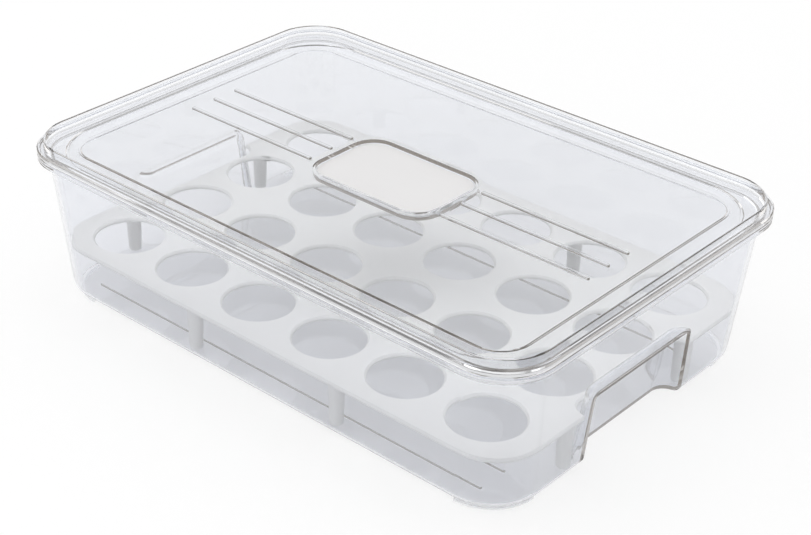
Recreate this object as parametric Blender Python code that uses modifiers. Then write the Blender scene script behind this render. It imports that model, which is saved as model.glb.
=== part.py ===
"""Clear egg storage box: a drafted bin, a white egg tray on legs and a stacking lid with a label pocket."""
import math

import bmesh
import bpy

# Egg grid. Its pitch is what the lid's length and width leave beside these rooms, shared by the eggs.
EGG_COLUMNS = 6
EGG_ROWS = 4
GRID_END_ROOM = 0.035
GRID_SIDE_ROOM = 0.030
SEAT_BAR = 0.0111

# Clearances between pieces.
FIT_GAP = 0.0003
STACK_CLEARANCE = 0.0002

# Lid, seen from above: skirt, upright fence, ledge, stacking groove and middle panel, from the edge inwards.
LID_LENGTH = 0.320
LID_WIDTH = 0.220
LID_SHEET = 0.0015
SKIRT_CORNER_RADIUS = 0.0275
SKIRT_OVERHANG = 0.003
SKIRT_HEIGHT = 0.0022
SKIRT_ROUNDING = 0.0006
FENCE_CORNER_RADIUS = 0.0255
FENCE_THICKNESS = 0.0015
FENCE_RISE = 0.0068
FENCE_ROUNDING = 0.0004
FENCE_DRAFT_RUN = 0.0002
LEDGE_WIDTH = 0.0055
LEDGE_CORNER_RADIUS = 0.0317
GROOVE_WIDTH = 0.0079
GROOVE_DEPTH = 0.001
GROOVE_SIDE_RUN = 0.0003
PANEL_CORNER_RADIUS = 0.0167

# Label pocket: a low collar in the middle of the panel, with a shoulder outside and a sunken floor inside.
COLLAR_LENGTH = 0.086
COLLAR_WIDTH = 0.061
COLLAR_CORNER_RADIUS = 0.018
COLLAR_SHOULDER = 0.0042
COLLAR_RIM = 0.0012
COLLAR_RISE = 0.001
POCKET_DEPTH = 0.0034
POCKET_SIDE_RUN = 0.0003
LABEL_THICKNESS = 0.0008

# Stiffening ribs on the lid's panel, in threes on both sides of the collar.
PANEL_RIBS_A_SIDE = 3
PANEL_RIB_END_INSET = 0.031
PANEL_RIB_PITCH = 0.0155
PANEL_RIB_WIDTH = 0.0016
PANEL_RIB_RISE = 0.0009

# Bin: drafted walls, a rounded bottom edge and a stepped rim that takes the lid.
BIN_HEIGHT = 0.0815
WALL = 0.002
FLOOR_THICKNESS = 0.0016
WALL_DRAFT = math.radians(4.3)
WALL_CORNER_RADIUS = 0.026
BASE_FILLET = 0.0045
RIM_OVERHANG = 0.0045
RIM_HEIGHT = 0.0039
SEAT_DEPTH = 0.0021
LIP_THICKNESS = 0.002
LIP_ROUNDING = 0.0005

# Finger recess low in each short end, open at the bottom.
RECESS_LENGTH = 0.0755
RECESS_TOP = 0.040
RECESS_DEPTH = 0.0082
RECESS_BACK_DRAFT = math.radians(8)
RECESS_SIDE_DRAFT = math.radians(2.5)
RECESS_CORNER_RADIUS = 0.008
RECESS_TOP_ROUNDING = 0.0025

# Ribs on the bin's floor: two long ones beside each long wall.
FLOOR_RIBS_A_SIDE = 2
FLOOR_RIB_END_INSET = 0.032
FLOOR_RIB_SIDE_INSET = 0.0251
FLOOR_RIB_PITCH = 0.0167
FLOOR_RIB_WIDTH = 0.0017
FLOOR_RIB_RISE = 0.0009

# Stacking feet: curved ridges under the bin's corners, which stand in the groove of a lid below.
FOOT_WIDTH = 0.002

# Egg tray: a flat plate with round egg seats, carried on tapered legs.
TRAY_STAND = 0.0275
TRAY_SHEET = 0.0026
TRAY_ROUNDING = 0.0009
TRAY_CLEARANCE = 0.0004
TRAY_NOTCH_CLEARANCE = 0.0007
TRAY_NOTCH_OUTER_RADIUS = 0.002
TRAY_NOTCH_INNER_RADIUS = 0.008
LEG_SIDE_INSET = 0.0075
LEG_END_INSET = 0.006
LEG_TOP_RADIUS = 0.0042
LEG_FOOT_RADIUS = 0.0034
LEG_FOOT_ROUNDING = 0.0006

# Depth by which joined shapes run into each other, and by which cutters run past a face.
OVERLAP = 0.0005
OVERRUN = 0.010

# Distances at which points count as one.
SAME_POINT = 0.000001
MIRROR_MERGE = 0.0001

# Smoothness, as counts of straight steps.
CORNER_STEPS = 9
FILLET_STEPS = 4
HOLE_STEPS = 24
LEG_STEPS = 18
FOOT_STEPS = 2
RIB_END_STEPS = 3
RIB_CROWN_STEPS = 3
SHARP_ANGLE = math.radians(32)

# Shares of a rib's half width that its round ends and its rounded crown take. The rest stays flat.
RIB_END_SHARE = 0.9
RIB_CROWN_SHARE = 0.75

# Places in plan that follow from the lid's length and width.
EGG_PITCH_ALONG = (LID_LENGTH - GRID_END_ROOM) / EGG_COLUMNS
EGG_PITCH_ACROSS = (LID_WIDTH - GRID_SIDE_ROOM) / EGG_ROWS
SEAT_RADIUS = (min(EGG_PITCH_ALONG, EGG_PITCH_ACROSS) - SEAT_BAR) / 2
PANEL_RIB_START = COLLAR_LENGTH / 2 - OVERLAP
PANEL_RIB_END = LID_LENGTH / 2 - PANEL_RIB_END_INSET
FLOOR_RIB_END = LID_LENGTH / 2 - FLOOR_RIB_END_INSET
FLOOR_RIB_OUTER_ROW = LID_WIDTH / 2 - FLOOR_RIB_SIDE_INSET

# Heights above the surface that the box stands on.
FOOT_HEIGHT = GROOVE_DEPTH + COLLAR_RISE + STACK_CLEARANCE
FLOOR_TOP = FOOT_HEIGHT + FLOOR_THICKNESS
RIM_BOTTOM = BIN_HEIGHT - RIM_HEIGHT
SEAT_TOP = BIN_HEIGHT - SEAT_DEPTH
LID_BOTTOM = SEAT_TOP + FIT_GAP
PANEL_TOP = LID_BOTTOM + LID_SHEET
FENCE_TOP = PANEL_TOP + FENCE_RISE
SKIRT_BOTTOM = BIN_HEIGHT + FIT_GAP
SKIRT_TOP = SKIRT_BOTTOM + SKIRT_HEIGHT
GROOVE_FLOOR = PANEL_TOP - GROOVE_DEPTH
COLLAR_TOP = PANEL_TOP + COLLAR_RISE
POCKET_FLOOR = COLLAR_TOP - POCKET_DEPTH
TRAY_TOP = FLOOR_TOP + TRAY_STAND
TRAY_BOTTOM = TRAY_TOP - TRAY_SHEET


def fresh_collection(name):
    """Adds an empty collection to the scene."""
    collection = bpy.data.collections.new(name)
    bpy.context.scene.collection.children.link(collection)
    return collection


def plastic(name, colour, roughness, transmission):
    """Makes a plain plastic material."""
    material = bpy.data.materials.new(name)
    material.use_nodes = True
    shader = material.node_tree.nodes["Principled BSDF"]
    shader.inputs["Base Color"].default_value = (*colour, 1.0)
    shader.inputs["Roughness"].default_value = roughness
    shader.inputs["Metallic"].default_value = 0.0
    shader.inputs["Transmission Weight"].default_value = transmission
    return material


def rounded_outline(corners, radii, steps):
    """Returns a closed outline with an arc of the given radius at each corner, inner or outer."""
    points = []
    count = len(corners)
    for index, (x, y) in enumerate(corners):
        before = corners[index - 1]
        after = corners[(index + 1) % count]
        to_before = (before[0] - x, before[1] - y)
        to_after = (after[0] - x, after[1] - y)
        reach_before = math.hypot(*to_before)
        reach_after = math.hypot(*to_after)
        ux, uy = to_before[0] / reach_before, to_before[1] / reach_before
        vx, vy = to_after[0] / reach_after, to_after[1] / reach_after
        half_angle = math.acos(ux * vx + uy * vy) / 2
        tangent = radii[index] / math.tan(half_angle)
        centre_x = x + (ux + vx) * tangent / (1 + ux * vx + uy * vy)
        centre_y = y + (uy + vy) * tangent / (1 + ux * vx + uy * vy)
        start = math.atan2(y + uy * tangent - centre_y, x + ux * tangent - centre_x)
        end = math.atan2(y + vy * tangent - centre_y, x + vx * tangent - centre_x)
        sweep = (end - start + math.pi) % (2 * math.pi) - math.pi
        for step in range(steps + 1):
            angle = start + sweep * step / steps
            points.append((
                centre_x + radii[index] * math.cos(angle),
                centre_y + radii[index] * math.sin(angle),
            ))
    return points


def rounded_rectangle(half_length, half_width, radius, centre_x=0.0):
    """Returns a rounded rectangle's outline, anticlockwise from above."""
    corners = [
        (centre_x + half_length, -half_width),
        (centre_x + half_length, half_width),
        (centre_x - half_length, half_width),
        (centre_x - half_length, -half_width),
    ]
    return rounded_outline(corners, [radius] * len(corners), CORNER_STEPS)


def finish(mesh_object, collection, material=None):
    """Puts an object in its collection, shades its curved faces smooth and gives it its material."""
    collection.objects.link(mesh_object)
    mesh = mesh_object.data
    mesh.shade_smooth()
    mesh.set_sharp_from_angle(angle=SHARP_ANGLE)
    mesh.materials.clear()
    if material:
        mesh.materials.append(material)
    else:
        mesh_object.hide_render = True
        mesh_object.display_type = "WIRE"
    return mesh_object


def loft(name, sections, collection, material=None):
    """Joins outlines of equal point counts, ring by ring, into one closed solid with flat ends."""
    shape = bmesh.new()
    rings = [[shape.verts.new((x, y, height)) for x, y in outline] for outline, height in sections]
    for ring, next_ring in zip(rings, rings[1:]):
        for index in range(len(ring)):
            shape.faces.new((ring[index - 1], ring[index], next_ring[index], next_ring[index - 1]))
    shape.faces.new(rings[0])
    shape.faces.new(rings[-1])
    bmesh.ops.recalc_face_normals(shape, faces=shape.faces)
    mesh = bpy.data.meshes.new(name)
    shape.to_mesh(mesh)
    shape.free()
    return finish(bpy.data.objects.new(name, mesh), collection, material)


def flat_piece(name, outlines, bottom, top, rounding, collection, material=None):
    """Fills flat outlines, the later ones as holes in the first, between two heights, with rounded edges."""
    curve = bpy.data.curves.new(name, "CURVE")
    curve.dimensions = "2D"
    curve.fill_mode = "BOTH"
    curve.extrude = (top - bottom) / 2 - rounding
    curve.bevel_depth = rounding
    curve.bevel_resolution = 0
    curve.offset = -rounding
    for outline in outlines:
        spline = curve.splines.new("POLY")
        spline.points.add(len(outline) - 1)
        for point, (x, y) in zip(spline.points, outline):
            point.co = (x, y, 0.0, 1.0)
        spline.use_cyclic_u = True
    source = bpy.data.objects.new(name + "_outline", curve)
    bpy.context.scene.collection.objects.link(source)
    bpy.context.view_layer.update()
    mesh = bpy.data.meshes.new_from_object(source.evaluated_get(bpy.context.evaluated_depsgraph_get()))
    bpy.data.objects.remove(source)
    mesh.name = name
    shape = bmesh.new()
    shape.from_mesh(mesh)
    bmesh.ops.remove_doubles(shape, verts=shape.verts, dist=SAME_POINT)
    bmesh.ops.translate(shape, verts=shape.verts, vec=(0.0, 0.0, (bottom + top) / 2))
    bmesh.ops.recalc_face_normals(shape, faces=shape.faces)
    shape.to_mesh(mesh)
    shape.free()
    return finish(bpy.data.objects.new(name, mesh), collection, material)


def cut_or_join(target, operation, tool):
    """Adds a Boolean of the tool to the target."""
    boolean = target.modifiers.new(tool.name, "BOOLEAN")
    boolean.operation = operation
    boolean.solver = "EXACT"
    boolean.object = tool


def mirror_across(mesh_object, along_x, along_y):
    """Repeats a piece on the other side of the box's middle planes."""
    mirror = mesh_object.modifiers.new("mirror", "MIRROR")
    mirror.use_axis[0] = along_x
    mirror.use_axis[1] = along_y
    mirror.merge_threshold = MIRROR_MERGE


def wall_section(height, inset):
    """Returns the outline of the bin's drafted wall at a height, moved in by an inset."""
    moved = (RIM_BOTTOM - height) * math.tan(WALL_DRAFT) + inset
    return rounded_rectangle(
        LID_LENGTH / 2 - RIM_OVERHANG - moved,
        LID_WIDTH / 2 - RIM_OVERHANG - moved,
        WALL_CORNER_RADIUS - inset,
    )


def filleted_wall(base, top, thickness, fillet):
    """Returns the sections from the flat base, round its bottom edge and up the wall."""
    sections = []
    for step in range(FILLET_STEPS + 1):
        angle = math.pi / 2 * step / FILLET_STEPS
        height = base + fillet * (1 - math.cos(angle))
        sections.append((wall_section(height, thickness + fillet * (1 - math.sin(angle))), height))
    sections.append((wall_section(top, thickness), top))
    return sections


def rim_section(inset, height):
    """Returns the outline of the bin's rim at an inset from its outer face."""
    return rounded_rectangle(
        LID_LENGTH / 2 - inset,
        LID_WIDTH / 2 - inset,
        SKIRT_CORNER_RADIUS - inset,
    ), height


def recess_walls(height):
    """Returns how far the recess's back lies from the box's middle at a height, and its half width there."""
    end_wall = LID_LENGTH / 2 - RIM_OVERHANG - (RIM_BOTTOM - RECESS_TOP) * math.tan(WALL_DRAFT)
    back = end_wall - RECESS_DEPTH - (RECESS_TOP - height) * math.tan(RECESS_BACK_DRAFT)
    return back, RECESS_LENGTH / 2 + (RECESS_TOP - height) * math.tan(RECESS_SIDE_DRAFT)


def recess_section(height, growth, inset=0.0):
    """Returns a finger recess's plan outline at a height. Growth is the wall around it."""
    back, half_width = recess_walls(height)
    inner_end = back - growth + inset
    outer_end = LID_LENGTH / 2 + OVERRUN
    return rounded_rectangle(
        (outer_end - inner_end) / 2,
        half_width + growth - inset,
        RECESS_CORNER_RADIUS + growth - inset,
        (outer_end + inner_end) / 2,
    ), height


def recess_shape(name, growth, bottom, collection):
    """Builds the solid of a finger recess, or of the wall around it, at both ends of the bin."""
    top = RECESS_TOP + growth
    rounding = RECESS_TOP_ROUNDING + growth
    sections = [recess_section(bottom, growth)]
    for step in range(FILLET_STEPS + 1):
        angle = math.pi / 2 * step / FILLET_STEPS
        height = top - rounding * (1 - math.sin(angle))
        sections.append(recess_section(height, growth, rounding * (1 - math.cos(angle))))
    shape = loft(name, sections, collection)
    mirror_across(shape, True, False)
    return shape


def rib_section(start, end, row, half_width, inset, height):
    """Returns a long rib's outline with round ends, moved in by an inset, and its height."""
    side = half_width - inset
    corners = [
        (start + inset, row - side),
        (end - inset, row - side),
        (end - inset, row + side),
        (start + inset, row + side),
    ]
    return rounded_outline(corners, [side * RIB_END_SHARE] * len(corners), RIB_END_STEPS), height


def long_rib(name, start, end, row, width, bottom, top, collection):
    """Builds one long rib with round ends and a rounded crown."""
    half_width = width / 2
    rounding = half_width * RIB_CROWN_SHARE
    sections = [rib_section(start, end, row, half_width, 0.0, bottom)]
    for step in range(RIB_CROWN_STEPS + 1):
        angle = math.pi / 2 * step / RIB_CROWN_STEPS
        inset = rounding * (1 - math.cos(angle))
        height = top - rounding * (1 - math.sin(angle))
        sections.append(rib_section(start, end, row, half_width, inset, height))
    return loft(name, sections, collection)


def joined(name, pieces, collection):
    """Puts several closed shapes into one mesh and removes the originals."""
    shape = bmesh.new()
    for piece in pieces:
        shape.from_mesh(piece.data)
    mesh = bpy.data.meshes.new(name)
    shape.to_mesh(mesh)
    shape.free()
    for piece in pieces:
        bpy.data.objects.remove(piece)
    return finish(bpy.data.objects.new(name, mesh), collection)


def make_bin(parts, cutters, material):
    """Builds the bin: shell, stepped rim, finger recesses, floor ribs and stacking feet."""
    inside = filleted_wall(FLOOR_TOP, SEAT_TOP, WALL, BASE_FILLET - WALL)
    outside = filleted_wall(FOOT_HEIGHT, RIM_BOTTOM, 0.0, BASE_FILLET)
    rim = [
        rim_section(LIP_THICKNESS, SEAT_TOP),
        rim_section(LIP_THICKNESS, BIN_HEIGHT - LIP_ROUNDING),
        rim_section(LIP_THICKNESS - LIP_ROUNDING, BIN_HEIGHT),
        rim_section(LIP_ROUNDING, BIN_HEIGHT),
        rim_section(0.0, BIN_HEIGHT - LIP_ROUNDING),
        rim_section(0.0, RIM_BOTTOM + LIP_ROUNDING),
        rim_section(LIP_ROUNDING, RIM_BOTTOM),
    ]
    body = loft("bin", inside + rim + outside[::-1], parts, material)

    half_wall = WALL / 2
    half_floor = FOOT_HEIGHT + FLOOR_THICKNESS / 2
    envelope = loft(
        "wall_middle",
        filleted_wall(half_floor, RIM_BOTTOM, half_wall, BASE_FILLET - half_wall),
        cutters,
    )
    recess_wall = recess_shape("recess_wall", WALL, FOOT_HEIGHT - OVERRUN, cutters)
    cut_or_join(recess_wall, "INTERSECT", envelope)
    cut_or_join(body, "UNION", recess_wall)

    ribs = []
    for row in range(FLOOR_RIBS_A_SIDE):
        place = FLOOR_RIB_OUTER_ROW - row * FLOOR_RIB_PITCH
        ribs.append(long_rib(
            "floor_rib", -FLOOR_RIB_END, FLOOR_RIB_END, place, FLOOR_RIB_WIDTH,
            FLOOR_TOP - OVERLAP, FLOOR_TOP + FLOOR_RIB_RISE, cutters,
        ))
    floor_ribs = joined("floor_ribs", ribs, cutters)
    mirror_across(floor_ribs, False, True)
    cut_or_join(body, "UNION", floor_ribs)

    feet = stacking_feet(cutters)
    cut_or_join(body, "UNION", feet)
    cut_or_join(body, "DIFFERENCE", recess_shape("finger_recess", 0.0, -OVERRUN, cutters))
    return body


def stacking_feet(cutters):
    """Builds the four curved ridges under the bin's corners, along the middle of the lid's groove."""
    edge = SKIRT_OVERHANG + FENCE_THICKNESS + LEDGE_WIDTH + GROOVE_WIDTH / 2
    radius = (LEDGE_CORNER_RADIUS + PANEL_CORNER_RADIUS) / 2
    centre_x = LID_LENGTH / 2 - edge - radius
    centre_y = LID_WIDTH / 2 - edge - radius
    outline = []
    for side in (1, -1):
        for step in range(CORNER_STEPS + 1):
            angle = math.pi / 4 * (1 - side) + side * math.pi / 2 * step / CORNER_STEPS
            reach = radius + side * FOOT_WIDTH / 2
            outline.append((centre_x + reach * math.cos(angle), centre_y + reach * math.sin(angle)))
    feet = flat_piece("stacking_feet", [outline], 0.0, FOOT_HEIGHT + OVERLAP, 0.0, cutters)
    mirror_across(feet, True, True)
    return feet


def tray_outline():
    """Returns the tray's outline: the bin's inside at the tray's height, notched round the recesses."""
    inset = RIM_OVERHANG + (RIM_BOTTOM - TRAY_BOTTOM) * math.tan(WALL_DRAFT) + WALL + TRAY_CLEARANCE
    end = LID_LENGTH / 2 - inset
    side = LID_WIDTH / 2 - inset
    back, half_width = recess_walls(TRAY_BOTTOM)
    notch_x = back - WALL - TRAY_NOTCH_CLEARANCE
    notch_y = half_width + WALL + TRAY_NOTCH_CLEARANCE
    half_end = [
        (end, -side), (end, -notch_y), (notch_x, -notch_y),
        (notch_x, notch_y), (end, notch_y), (end, side),
    ]
    corner_radius = WALL_CORNER_RADIUS - WALL - TRAY_CLEARANCE
    radii = [
        corner_radius, TRAY_NOTCH_OUTER_RADIUS, TRAY_NOTCH_INNER_RADIUS,
        TRAY_NOTCH_INNER_RADIUS, TRAY_NOTCH_OUTER_RADIUS, corner_radius,
    ]
    corners = half_end + [(-x, y) for x, y in half_end[::-1]]
    return rounded_outline(corners, radii + radii[::-1], CORNER_STEPS), end, side


def egg_holes():
    """Returns the outlines of the round egg seats, clockwise so that they read as holes."""
    outlines = []
    for row in range(EGG_ROWS):
        for column in range(EGG_COLUMNS):
            x = (column - (EGG_COLUMNS - 1) / 2) * EGG_PITCH_ALONG
            y = (row - (EGG_ROWS - 1) / 2) * EGG_PITCH_ACROSS
            outline = []
            for step in range(HOLE_STEPS):
                angle = -2 * math.pi * step / HOLE_STEPS
                outline.append((x + SEAT_RADIUS * math.cos(angle), y + SEAT_RADIUS * math.sin(angle)))
            outlines.append(outline)
    return outlines


def tray_leg(x, y, cutters):
    """Builds one tapered leg from the plate down to the bin's floor, with a rounded foot."""
    foot = FLOOR_TOP + FIT_GAP - TRAY_TOP
    head = TRAY_BOTTOM + OVERLAP - TRAY_TOP
    shape = bmesh.new()
    bmesh.ops.create_cone(
        shape, cap_ends=True, segments=LEG_STEPS, radius1=LEG_FOOT_RADIUS, radius2=LEG_TOP_RADIUS,
        depth=head - foot,
    )
    bmesh.ops.translate(shape, verts=shape.verts, vec=(x, y, (head + foot) / 2))
    rim = [edge for edge in shape.edges if all(vert.co.z < (head + foot) / 2 for vert in edge.verts)]
    bmesh.ops.bevel(
        shape, geom=rim, offset=LEG_FOOT_ROUNDING, segments=FOOT_STEPS, profile=0.5, affect="EDGES",
    )
    mesh = bpy.data.meshes.new("tray_leg")
    shape.to_mesh(mesh)
    shape.free()
    return finish(bpy.data.objects.new("tray_leg", mesh), cutters)


def make_tray(parts, cutters, material):
    """Builds the egg tray with its origin in the middle of the plate's top face."""
    outline, end, side = tray_outline()
    tray = flat_piece("egg_tray", [outline] + egg_holes(), -TRAY_SHEET, 0.0, TRAY_ROUNDING, parts, material)
    leg_row = side - LEG_SIDE_INSET
    leg_column = end - LEG_END_INSET
    places = [(x, y) for x in (-EGG_PITCH_ALONG, EGG_PITCH_ALONG) for y in (-leg_row, leg_row)]
    places += [(x, y) for x in (-leg_column, leg_column) for y in (-EGG_PITCH_ACROSS, EGG_PITCH_ACROSS)]
    legs = joined("tray_legs", [tray_leg(x, y, cutters) for x, y in places], cutters)
    cut_or_join(tray, "UNION", legs)
    legs.location.z = TRAY_TOP
    tray.location.z = TRAY_TOP
    return tray


def fence_section(inset, height, radius):
    """Returns a lid outline at an inset from the fence's outer face, at a height above the lid's origin."""
    return rounded_rectangle(
        LID_LENGTH / 2 - SKIRT_OVERHANG - inset,
        LID_WIDTH / 2 - SKIRT_OVERHANG - inset,
        radius,
    ), height - LID_BOTTOM


def collar_section(inset, height, growth=0.0):
    """Returns an outline of the label collar at an inset from its foot."""
    return rounded_rectangle(
        COLLAR_LENGTH / 2 - inset + growth,
        COLLAR_WIDTH / 2 - inset + growth,
        COLLAR_CORNER_RADIUS - inset + growth,
    ), height - LID_BOTTOM


def make_lid(parts, cutters, material):
    """Builds the lid as one moulding, from the label pocket out over the fence and back underneath."""
    ledge = FENCE_THICKNESS + LEDGE_WIDTH
    groove_start = ledge + GROOVE_SIDE_RUN
    groove_end = ledge + GROOVE_WIDTH - GROOVE_SIDE_RUN
    panel = ledge + GROOVE_WIDTH
    pocket = COLLAR_SHOULDER + COLLAR_RIM
    fence_inner = FENCE_THICKNESS - FENCE_DRAFT_RUN
    underside = [
        collar_section(pocket + POCKET_SIDE_RUN, POCKET_FLOOR - LID_SHEET, LID_SHEET),
        collar_section(pocket, LID_BOTTOM, LID_SHEET),
        fence_section(panel + LID_SHEET, LID_BOTTOM, PANEL_CORNER_RADIUS - LID_SHEET),
        fence_section(groove_end + LID_SHEET, GROOVE_FLOOR - LID_SHEET, PANEL_CORNER_RADIUS - LID_SHEET),
        fence_section(groove_start - LID_SHEET, GROOVE_FLOOR - LID_SHEET, LEDGE_CORNER_RADIUS + LID_SHEET),
        fence_section(ledge - LID_SHEET, LID_BOTTOM, LEDGE_CORNER_RADIUS + LID_SHEET),
        fence_section(0.0, LID_BOTTOM, FENCE_CORNER_RADIUS),
        fence_section(0.0, SKIRT_BOTTOM, FENCE_CORNER_RADIUS),
    ]
    skirt = [
        fence_section(-SKIRT_OVERHANG, SKIRT_BOTTOM, SKIRT_CORNER_RADIUS),
        fence_section(-SKIRT_OVERHANG, SKIRT_TOP - SKIRT_ROUNDING, SKIRT_CORNER_RADIUS),
        fence_section(SKIRT_ROUNDING - SKIRT_OVERHANG, SKIRT_TOP, SKIRT_CORNER_RADIUS - SKIRT_ROUNDING),
    ]
    fence = [
        fence_section(0.0, SKIRT_TOP, FENCE_CORNER_RADIUS),
        fence_section(FENCE_DRAFT_RUN, FENCE_TOP - FENCE_ROUNDING, FENCE_CORNER_RADIUS),
        fence_section(FENCE_DRAFT_RUN + FENCE_ROUNDING, FENCE_TOP, FENCE_CORNER_RADIUS),
        fence_section(fence_inner - FENCE_ROUNDING, FENCE_TOP, FENCE_CORNER_RADIUS - FENCE_THICKNESS),
        fence_section(fence_inner, FENCE_TOP - FENCE_ROUNDING, FENCE_CORNER_RADIUS - FENCE_THICKNESS),
        fence_section(FENCE_THICKNESS, PANEL_TOP, FENCE_CORNER_RADIUS - FENCE_THICKNESS),
    ]
    top_side = [
        fence_section(ledge, PANEL_TOP, LEDGE_CORNER_RADIUS),
        fence_section(groove_start, GROOVE_FLOOR, LEDGE_CORNER_RADIUS),
        fence_section(groove_end, GROOVE_FLOOR, PANEL_CORNER_RADIUS),
        fence_section(panel, PANEL_TOP, PANEL_CORNER_RADIUS),
    ]
    label_pocket = [
        collar_section(0.0, PANEL_TOP),
        collar_section(COLLAR_SHOULDER, COLLAR_TOP),
        collar_section(pocket, COLLAR_TOP),
        collar_section(pocket + POCKET_SIDE_RUN, POCKET_FLOOR),
    ]
    lid = loft("lid", underside + skirt + fence + top_side + label_pocket, parts, material)

    ribs = []
    for index in range(PANEL_RIBS_A_SIDE):
        row = (index - (PANEL_RIBS_A_SIDE - 1) / 2) * PANEL_RIB_PITCH
        ribs.append(long_rib(
            "panel_rib", PANEL_RIB_START, PANEL_RIB_END, row, PANEL_RIB_WIDTH,
            PANEL_TOP - OVERLAP - LID_BOTTOM, PANEL_TOP + PANEL_RIB_RISE - LID_BOTTOM, cutters,
        ))
    panel_ribs = joined("panel_ribs", ribs, cutters)
    mirror_across(panel_ribs, True, False)
    panel_ribs.location.z = LID_BOTTOM
    cut_or_join(lid, "UNION", panel_ribs)
    lid.location.z = LID_BOTTOM
    return lid


def make_label(parts, material):
    """Builds the blank label plate, which lies in the lid's pocket."""
    pocket = COLLAR_SHOULDER + COLLAR_RIM + POCKET_SIDE_RUN
    outline, _ = collar_section(pocket + FIT_GAP, LID_BOTTOM)
    label = flat_piece("label_plate", [outline], 0.0, LABEL_THICKNESS, 0.0, parts, material)
    label.location.z = POCKET_FLOOR + FIT_GAP
    return label


def main():
    """Clears the scene and builds the box."""
    for old in list(bpy.data.objects):
        bpy.data.objects.remove(old)
    parts = fresh_collection("egg_storage_box")
    cutters = fresh_collection("egg_storage_box_cutters")
    clear = plastic("clear_moulded_plastic", (0.90, 0.93, 0.94), 0.06, 0.95)
    lid_clear = plastic("clear_lid_plastic", (0.92, 0.94, 0.95), 0.05, 0.95)
    white = plastic("white_tray_plastic", (0.88, 0.89, 0.90), 0.35, 0.0)
    paper = plastic("white_label_plate", (0.90, 0.91, 0.93), 0.45, 0.0)

    body = make_bin(parts, cutters, clear)
    tray = make_tray(parts, cutters, white)
    lid = make_lid(parts, cutters, lid_clear)
    label = make_label(parts, paper)

    bpy.context.view_layer.update()
    for child, parent in ((tray, body), (lid, body), (label, lid)):
        child.parent = parent
        child.matrix_parent_inverse = parent.matrix_world.inverted()


main()
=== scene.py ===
"""Looks of a clear egg storage box with a white egg tray and a stacking lid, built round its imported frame."""
import math

import bmesh
import bpy
from mathutils import Matrix, Vector


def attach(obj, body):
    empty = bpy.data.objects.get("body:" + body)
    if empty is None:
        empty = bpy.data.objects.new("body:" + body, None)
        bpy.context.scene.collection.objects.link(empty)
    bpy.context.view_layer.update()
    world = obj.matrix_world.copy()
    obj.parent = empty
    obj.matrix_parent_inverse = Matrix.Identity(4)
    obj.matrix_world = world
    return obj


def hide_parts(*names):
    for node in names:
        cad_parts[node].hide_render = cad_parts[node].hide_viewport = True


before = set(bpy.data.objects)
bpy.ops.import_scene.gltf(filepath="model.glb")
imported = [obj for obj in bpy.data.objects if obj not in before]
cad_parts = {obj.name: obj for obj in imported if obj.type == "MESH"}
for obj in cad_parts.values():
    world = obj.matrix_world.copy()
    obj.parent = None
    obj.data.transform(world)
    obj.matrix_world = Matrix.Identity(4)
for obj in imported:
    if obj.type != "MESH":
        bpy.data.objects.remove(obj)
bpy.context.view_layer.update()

# Bin: one injection moulding in clear PET, about 2 mm thick, polished in the mould inside and out.
# Its drafted walls, stepped rim, finger recesses, floor ribs and stacking feet come out of the mould in one
# piece, so every edge has a small moulded radius that gathers light into thin bright and dark lines.
MM = 0.001
SAME_POINT = 0.001 * MM
FLAT_ANGLE = math.radians(0.5)
EDGE_ANGLE = math.radians(28)
EDGE_SEGMENTS = 2
LARGE_FACES_LEAD = 100
BIN_EDGE_RADIUS = 0.28 * MM


def linear(colour):
    """Turns an sRGB hex colour into linear light."""
    channels = [int(colour[index:index + 2], 16) / 255 for index in (1, 3, 5)]
    return tuple(c / 12.92 if c <= 0.04045 else ((c + 0.055) / 1.055) ** 2.4 for c in channels) + (1.0,)


def add(tree, kind, inputs=None, **settings):
    """Adds a node with its settings, its socket values and the links into it."""
    node = tree.nodes.new(kind)
    for name, value in settings.items():
        setattr(node, name, value)
    for socket, value in (inputs or {}).items():
        if isinstance(value, bpy.types.NodeSocket):
            tree.links.new(value, node.inputs[socket])
        else:
            node.inputs[socket].default_value = value
    return node


def new_material(name):
    """Makes an empty node material and returns it with its tree."""
    material = bpy.data.materials.new(name)
    material.use_nodes = True
    material.node_tree.nodes.clear()
    return material, material.node_tree


def welded_copy(node):
    """Copies a CAD node's loose triangles into one welded shell with whole flat faces."""
    shape = bmesh.new()
    shape.from_mesh(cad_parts[node].data)
    bmesh.ops.remove_doubles(shape, verts=shape.verts, dist=SAME_POINT)
    bmesh.ops.dissolve_limit(
        shape, angle_limit=FLAT_ANGLE, use_dissolve_boundaries=False,
        verts=shape.verts, edges=shape.edges,
    )
    return shape


def moulded_piece(shape, node, name, edge_radius, material, body):
    """Gives a shell small moulded radii on its edges and puts it in the place of its CAD node."""
    mesh = bpy.data.meshes.new(name)
    shape.to_mesh(mesh)
    shape.free()
    mesh.shade_smooth()
    mesh.materials.append(material)
    piece = bpy.data.objects.new(name, mesh)
    bpy.context.scene.collection.objects.link(piece)
    edges = piece.modifiers.new("moulded_edges", "BEVEL")
    edges.width = edge_radius
    edges.segments = EDGE_SEGMENTS
    edges.limit_method = "ANGLE"
    edges.angle_limit = EDGE_ANGLE
    flat_faces = piece.modifiers.new("flat_faces", "WEIGHTED_NORMAL")
    flat_faces.mode = "FACE_AREA"
    flat_faces.weight = LARGE_FACES_LEAD
    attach(piece, body)
    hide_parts(node)


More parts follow.
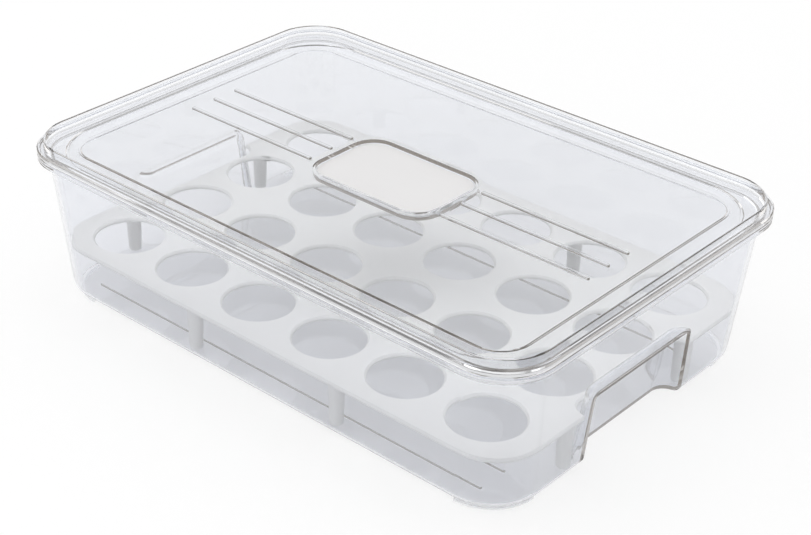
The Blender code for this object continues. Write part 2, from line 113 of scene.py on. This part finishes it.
# Clear PET, polished: bends light a little more than window glass and shows its thickness as thin edge lines.
# The faint cool tint, the slow waves and the hairline scuffs are what tells it from empty air. Light that is
# still caught between the sheet's faces after a few mirrorings is let straight out, dimmed to CAUGHT_TINT, so
# that ribs and rims show as grey lines, as on the real box, and not as black ones.
PET_IOR = 1.57
PET_TINT = "#F7F8FB"
PET_SHADE = "#F4F5F8"
PET_SHADOW_TINT = "#FFFFFF"
CAUGHT_BOUNCES = 3.5
CAUGHT_TINT = "#D3D0CD"
PET_ROUGHNESS = 0.02
WAVE_LENGTH = 22 * MM
WAVE_HEIGHT = 0.05 * MM
WAVE_STRENGTH = 0.6
SCUFF_LENGTH = 9 * MM
SCUFF_STRETCH = (1.0, 6.0, 6.0)
SCUFF_TURN = (0.3, 0.2, 0.6)
SCUFF_START = 0.58
SCUFF_FULL = 0.80
SCUFF_ROUGHNESS = 0.10
FLOW_LENGTH = 38 * MM
FLOW_SWIRL = 0.8


def clear_plastic(name, light, shade, wave_length, seed):
    """Makes a clear moulded plastic with slow waves, a faintly uneven tint and hairline scuffs."""
    material, tree = new_material(name)
    place = add(tree, "ShaderNodeTexCoord")
    moved = add(tree, "ShaderNodeMapping", {"Vector": place.outputs["Object"], "Location": (seed, seed, seed)})
    waves = add(tree, "ShaderNodeTexNoise", {
        "Vector": moved.outputs["Vector"], "Scale": 1 / wave_length, "Detail": 1.0, "Roughness": 0.4,
    })
    bump = add(tree, "ShaderNodeBump", {
        "Height": waves.outputs["Fac"], "Distance": WAVE_HEIGHT, "Strength": WAVE_STRENGTH,
    })
    stretched = add(tree, "ShaderNodeMapping", {
        "Vector": place.outputs["Object"], "Scale": SCUFF_STRETCH, "Rotation": SCUFF_TURN,
    })
    scuffs = add(tree, "ShaderNodeTexNoise", {
        "Vector": stretched.outputs["Vector"], "Scale": 1 / SCUFF_LENGTH, "Detail": 6.0, "Roughness": 0.7,
    })
    haze = add(tree, "ShaderNodeMapRange", {
        "Value": scuffs.outputs["Fac"], "From Min": SCUFF_START, "From Max": SCUFF_FULL,
        "To Min": PET_ROUGHNESS, "To Max": SCUFF_ROUGHNESS,
    })
    flow = add(tree, "ShaderNodeTexNoise", {
        "Vector": moved.outputs["Vector"], "Scale": 1 / FLOW_LENGTH, "Detail": 2.0, "Roughness": 0.5,
        "Distortion": FLOW_SWIRL,
    })
    tint = add(tree, "ShaderNodeMix", {
        "Factor": flow.outputs["Fac"], "A": linear(shade), "B": linear(light),
    }, data_type="RGBA")
    shader = add(tree, "ShaderNodeBsdfPrincipled", {
        "Base Color": tint.outputs["Result"], "Roughness": haze.outputs["Result"], "IOR": PET_IOR,
        "Transmission Weight": 1.0, "Normal": bump.outputs["Normal"],
    })
    lamp_light = add(tree, "ShaderNodeBsdfTransparent", {"Color": linear(PET_SHADOW_TINT)})
    path = add(tree, "ShaderNodeLightPath")
    caught = add(tree, "ShaderNodeMath", {
        0: path.outputs["Glossy Depth"], 1: CAUGHT_BOUNCES,
    }, operation="GREATER_THAN")
    way_out = add(tree, "ShaderNodeBsdfTransparent", {"Color": linear(CAUGHT_TINT)})
    sheet = add(tree, "ShaderNodeMixShader", {
        0: caught.outputs["Value"], 1: shader.outputs["BSDF"], 2: way_out.outputs["BSDF"],
    })
    both = add(tree, "ShaderNodeMixShader", {
        0: path.outputs["Is Shadow Ray"], 1: sheet.outputs["Shader"], 2: lamp_light.outputs["BSDF"],
    })
    add(tree, "ShaderNodeOutputMaterial", {"Surface": both.outputs["Shader"]})
    return material


BIN_SEED = 0.0
bin_plastic = clear_plastic("clear_moulded_pet_bin", PET_TINT, PET_SHADE, WAVE_LENGTH, BIN_SEED)
moulded_piece(
    welded_copy("bin"), "bin", "clear_bin", BIN_EDGE_RADIUS, bin_plastic, "bin",
)


# Egg tray: one injection moulding in white polypropylene, 2.6 mm thick, with round seats and tapered legs.
# It lies loose in the bin on its eight legs. The mould is lightly textured, so the face is satin, not glossy.
TRAY_EDGE_RADIUS = 0.3 * MM
TRAY_WHITE = "#F9F9F8"
TRAY_SHADE = "#F3F3F2"
TRAY_ROUGHNESS = 0.42
TRAY_GRAIN = 0.9 * MM
TRAY_CLOUD = 45 * MM
TRAY_GRAIN_HEIGHT = 0.02 * MM
GRAIN_STRENGTH = 0.5
GRAIN_LOW = 0.3
GRAIN_HIGH = 0.7
GLOSS_SPREAD = 0.05
POLYPROPYLENE_IOR = 1.49


def satin_plastic(name, light, shade, roughness, grain, cloud, grain_height):
    """Makes an opaque moulded plastic with a fine mould texture and slow, faint changes of tone."""
    material, tree = new_material(name)
    place = add(tree, "ShaderNodeTexCoord")
    clouds = add(tree, "ShaderNodeTexNoise", {
        "Vector": place.outputs["Object"], "Scale": 1 / cloud, "Detail": 3.0, "Roughness": 0.5,
    })
    tone = add(tree, "ShaderNodeMix", {
        "Factor": clouds.outputs["Fac"], "A": linear(shade), "B": linear(light),
    }, data_type="RGBA")
    fine = add(tree, "ShaderNodeTexNoise", {
        "Vector": place.outputs["Object"], "Scale": 1 / grain, "Detail": 4.0, "Roughness": 0.6,
    })
    gloss = add(tree, "ShaderNodeMapRange", {
        "Value": fine.outputs["Fac"], "From Min": GRAIN_LOW, "From Max": GRAIN_HIGH,
        "To Min": roughness - GLOSS_SPREAD, "To Max": roughness + GLOSS_SPREAD,
    })
    bump = add(tree, "ShaderNodeBump", {
        "Height": fine.outputs["Fac"], "Distance": grain_height, "Strength": GRAIN_STRENGTH,
    })
    shader = add(tree, "ShaderNodeBsdfPrincipled", {
        "Base Color": tone.outputs["Result"], "Roughness": gloss.outputs["Result"],
        "IOR": POLYPROPYLENE_IOR, "Normal": bump.outputs["Normal"],
    })
    add(tree, "ShaderNodeOutputMaterial", {"Surface": shader.outputs["BSDF"]})
    return material


tray_plastic = satin_plastic(
    "white_satin_polypropylene", TRAY_WHITE, TRAY_SHADE, TRAY_ROUGHNESS, TRAY_GRAIN, TRAY_CLOUD,
    TRAY_GRAIN_HEIGHT,
)
moulded_piece(
    welded_copy("egg_tray"), "egg_tray", "white_tray", TRAY_EDGE_RADIUS, tray_plastic, "egg_tray",
)


# Lid: one clear PET moulding of 1.5 mm sheet with a skirt, an upright stacking fence, a groove and six ribs.
# It drops into the bin's stepped rim. The collar in its middle frames a sunken pocket for a label. The solid's
# ribs have round crowns. Here they are a little wider and crisper, so that each shows as a pair of thin lines.
LID_EDGE_RADIUS = 0.18 * MM
LID_TINT = "#FBFCFE"
LID_SHADE = "#F8F9FB"
LID_WAVE_LENGTH = 30 * MM
LID_SEED = 0.4
lid_plastic = clear_plastic("clear_moulded_pet_lid", LID_TINT, LID_SHADE, LID_WAVE_LENGTH, LID_SEED)
PANEL_TOP = 81.2 * MM
RIB_ROWS = (-15.5 * MM, 0.0, 15.5 * MM)
RIB_REACH = (42.4 * MM, 129.1 * MM)
RIB_HALF_WIDTH = 0.8 * MM
RIB_RISE = 0.9 * MM
RIB_ROUNDING = 0.6 * MM
CRISP_HALF_WIDTH = 0.95 * MM
CRISP_RISE = 1.1 * MM
CRISP_ROUNDING = 0.2 * MM
lid_shape = welded_copy("lid")
for vertex in lid_shape.verts:
    rise = vertex.co.z - PANEL_TOP
    row = min(RIB_ROWS, key=lambda place: abs(vertex.co.y - place))
    along_rib = RIB_REACH[0] < abs(vertex.co.x) < RIB_REACH[1]
    across_rib = abs(vertex.co.y - row) < RIB_HALF_WIDTH + SAME_POINT
    above_panel = -SAME_POINT < rise < RIB_RISE + SAME_POINT
    if not (along_rib and across_rib and above_panel):
        continue
    turned = max(0.0, 1 - (RIB_RISE - rise) / RIB_ROUNDING)
    away = 1 - math.sqrt(max(0.0, 1 - turned * turned))
    widening = (CRISP_HALF_WIDTH - CRISP_ROUNDING * away) / (RIB_HALF_WIDTH - RIB_ROUNDING * away)
    vertex.co.y = row + (vertex.co.y - row) * widening
    if rise > RIB_RISE - RIB_ROUNDING - SAME_POINT:
        vertex.co.z = PANEL_TOP + CRISP_RISE - CRISP_ROUNDING * (1 - turned)
moulded_piece(lid_shape, "lid", "clear_lid", LID_EDGE_RADIUS, lid_plastic, "lid")


# Label plate: a blank white plate of 0.8 mm polypropylene sheet that lies loose in the lid's pocket.
# Its sheet is calendered, so it is matt with a very fine, even grain that takes a pen.
LABEL_EDGE_RADIUS = 0.12 * MM
LABEL_WHITE = "#E6E5E5"
LABEL_SHADE = "#E2E1E1"
LABEL_ROUGHNESS = 0.55
LABEL_GRAIN = 0.5 * MM
LABEL_CLOUD = 30 * MM
LABEL_GRAIN_HEIGHT = 0.01 * MM
label_sheet = satin_plastic(
    "white_matt_label_sheet", LABEL_WHITE, LABEL_SHADE, LABEL_ROUGHNESS, LABEL_GRAIN, LABEL_CLOUD,
    LABEL_GRAIN_HEIGHT,
)
moulded_piece(
    welded_copy("label_plate"), "label_plate", "label_sheet", LABEL_EDGE_RADIUS, label_sheet, "lid",
)


# Floor: a plain pale sweep that the box stands on. It fades into the white round it, so no horizon shows.
# Seen directly it is part its own white, which keeps the background white and the box's shadow faint.
FLOOR_SIZE = 5.0
FLOOR_CLEAR_RADIUS = 1.2
FLOOR_FADE_RADIUS = 2.2
WHITE = "#FFFFFF"
FLOOR_WHITE = "#FBFBFB"
FLOOR_OWN_WHITE = 0.75
FLOOR_MIRRORED_WHITE = 0.35
floor_shape = bmesh.new()
bmesh.ops.create_grid(floor_shape, x_segments=1, y_segments=1, size=FLOOR_SIZE / 2)
floor_mesh = bpy.data.meshes.new("floor")
floor_shape.to_mesh(floor_mesh)
floor_shape.free()
floor = bpy.data.objects.new("floor", floor_mesh)
bpy.context.scene.collection.objects.link(floor)
floor_paint, floor_tree = new_material("pale_floor_paint")
floor_place = add(floor_tree, "ShaderNodeTexCoord")
floor_reach = add(floor_tree, "ShaderNodeVectorMath", {0: floor_place.outputs["Object"]}, operation="LENGTH")
floor_fade = add(floor_tree, "ShaderNodeMapRange", {
    "Value": floor_reach.outputs["Value"], "From Min": FLOOR_CLEAR_RADIUS, "From Max": FLOOR_FADE_RADIUS,
}, interpolation_type="SMOOTHSTEP")
floor_white = add(floor_tree, "ShaderNodeBsdfDiffuse", {"Color": linear(FLOOR_WHITE)})
floor_open = add(floor_tree, "ShaderNodeBsdfTransparent")
floor_path = add(floor_tree, "ShaderNodeLightPath")
floor_mirrored = add(floor_tree, "ShaderNodeMath", {
    0: floor_path.outputs["Is Glossy Ray"], 1: floor_path.outputs["Is Transmission Ray"],
}, operation="MAXIMUM")
floor_shown_white = add(floor_tree, "ShaderNodeMath", {
    0: floor_path.outputs["Is Camera Ray"], 1: FLOOR_OWN_WHITE,
}, operation="MULTIPLY")
floor_share = add(floor_tree, "ShaderNodeMath", {
    0: floor_mirrored.outputs["Value"], 1: FLOOR_MIRRORED_WHITE, 2: floor_shown_white.outputs["Value"],
}, operation="MULTIPLY_ADD")
floor_glow = add(floor_tree, "ShaderNodeEmission", {"Color": linear(WHITE), "Strength": 1.0})
floor_seen = add(floor_tree, "ShaderNodeMixShader", {
    0: floor_share.outputs["Value"], 1: floor_white.outputs["BSDF"], 2: floor_glow.outputs["Emission"],
})
floor_mix = add(floor_tree, "ShaderNodeMixShader", {
    0: floor_fade.outputs["Result"], 1: floor_seen.outputs["Shader"], 2: floor_open.outputs["BSDF"],
})
add(floor_tree, "ShaderNodeOutputMaterial", {"Surface": floor_mix.outputs["Shader"]})
floor_mesh.materials.append(floor_paint)


# Studio: an even white room lights the box. Seen directly, mirrored or through the plastic it is white at
# eye level, with a darker band higher up, which the clear edges gather into their thin dark lines.
ROOM_LIGHT = 0.70
BAND_STOPS = (
    (0.0, 1.0), (0.32, 1.0), (0.44, 0.75), (0.57, 0.75), (0.64, 0.15), (0.78, 0.15), (0.86, 1.0), (1.0, 1.0),
)
room = bpy.data.worlds.new("white_room")
bpy.context.scene.world = room
room.use_nodes = True
room_tree = room.node_tree
room_tree.nodes.clear()
room_path = add(room_tree, "ShaderNodeLightPath")
room_place = add(room_tree, "ShaderNodeTexCoord")
room_height = add(room_tree, "ShaderNodeSeparateXYZ", {"Vector": room_place.outputs["Generated"]})
band = add(room_tree, "ShaderNodeValToRGB", {"Fac": room_height.outputs["Z"]})
while len(band.color_ramp.elements) < len(BAND_STOPS):
    band.color_ramp.elements.new(1.0)
for element, (position, level) in zip(band.color_ramp.elements, BAND_STOPS):
    element.position = position
    element.color = (level, level, level, 1.0)
bounced = add(room_tree, "ShaderNodeMath", {
    0: room_path.outputs["Is Glossy Ray"], 1: room_path.outputs["Is Transmission Ray"],
}, operation="MAXIMUM")
lit = add(room_tree, "ShaderNodeBackground", {"Color": linear(WHITE), "Strength": ROOM_LIGHT})
mirrored = add(room_tree, "ShaderNodeBackground", {"Color": band.outputs["Color"], "Strength": 1.0})
seen = add(room_tree, "ShaderNodeBackground", {"Color": linear(WHITE), "Strength": 1.0})
for_bounces = add(room_tree, "ShaderNodeMixShader", {
    0: bounced.outputs["Value"], 1: lit.outputs["Background"], 2: mirrored.outputs["Background"],
})
for_camera = add(room_tree, "ShaderNodeMixShader", {
    0: room_path.outputs["Is Camera Ray"], 1: for_bounces.outputs["Shader"], 2: seen.outputs["Background"],
})
add(room_tree, "ShaderNodeOutputWorld", {"Surface": for_camera.outputs["Shader"]})


BOX_MIDDLE = (0, 0, 0.04)


def soft_box(name, place, width, height, power, mirrored):
    """Hangs a soft lamp that faces the box and stays out of the picture, and out of its reflections if told."""
    lamp = bpy.data.lights.new(name, "AREA")
    lamp.shape = "RECTANGLE"
    lamp.size = width
    lamp.size_y = height
    lamp.energy = power
    holder = bpy.data.objects.new(name, lamp)
    holder.location = place
    holder.visible_camera = False
    holder.visible_glossy = mirrored
    holder.visible_transmission = mirrored
    holder.rotation_euler = (Vector(BOX_MIDDLE) - Vector(place)).to_track_quat("-Z", "Y").to_euler()
    bpy.context.scene.collection.objects.link(holder)


soft_box("key_lamp", place=(-0.8, -0.6, 1.3), width=1.8, height=1.4, power=8.0, mirrored=True)
soft_box("back_lamp", place=(0.4, 1.1, 1.2), width=1.8, height=1.4, power=6.0, mirrored=True)
soft_box("front_lamp", place=(0.5, -1.2, 0.45), width=1.6, height=0.5, power=3.2, mirrored=False)


# Camera: stands where the photograph was taken from, in front of the corner between the long and short sides.
PHOTO_WIDTH = 811
PHOTO_HEIGHT = 535
CAMERA_PLACE = (0.5053, -0.5883, 0.4858)
CAMERA_AZIMUTH = math.radians(42.15)
CAMERA_ELEVATION = math.radians(30.46)
CAMERA_ROLL = math.radians(0.61)
FOCAL_PIXELS = 1767.5
AXIS_PIXEL = (353.2, 265.2)
SENSOR = 36.0
camera_data = bpy.data.cameras.new("camera")
camera_data.sensor_width = SENSOR
camera_data.lens = FOCAL_PIXELS / PHOTO_WIDTH * SENSOR
camera_data.shift_x = (PHOTO_WIDTH / 2 - AXIS_PIXEL[0]) / PHOTO_WIDTH
camera_data.shift_y = (AXIS_PIXEL[1] - PHOTO_HEIGHT / 2) / PHOTO_WIDTH
camera = bpy.data.objects.new("camera", camera_data)
turn = Matrix.Rotation(CAMERA_AZIMUTH, 4, "Z") @ Matrix.Rotation(math.pi / 2 - CAMERA_ELEVATION, 4, "X")
camera.matrix_world = Matrix.Translation(CAMERA_PLACE) @ turn @ Matrix.Rotation(CAMERA_ROLL, 4, "Z")
bpy.context.scene.collection.objects.link(camera)
bpy.context.scene.camera = camera

# Picture: colours shown as they are, and light followed through all the clear sheets that stand in a row.
CLEAR_BOUNCES = 24
MIRROR_BOUNCES = 8
scene = bpy.context.scene
scene.view_settings.view_transform = "Standard"
scene.cycles.max_bounces = CLEAR_BOUNCES
scene.cycles.transmission_bounces = CLEAR_BOUNCES
scene.cycles.transparent_max_bounces = CLEAR_BOUNCES
scene.cycles.glossy_bounces = MIRROR_BOUNCES
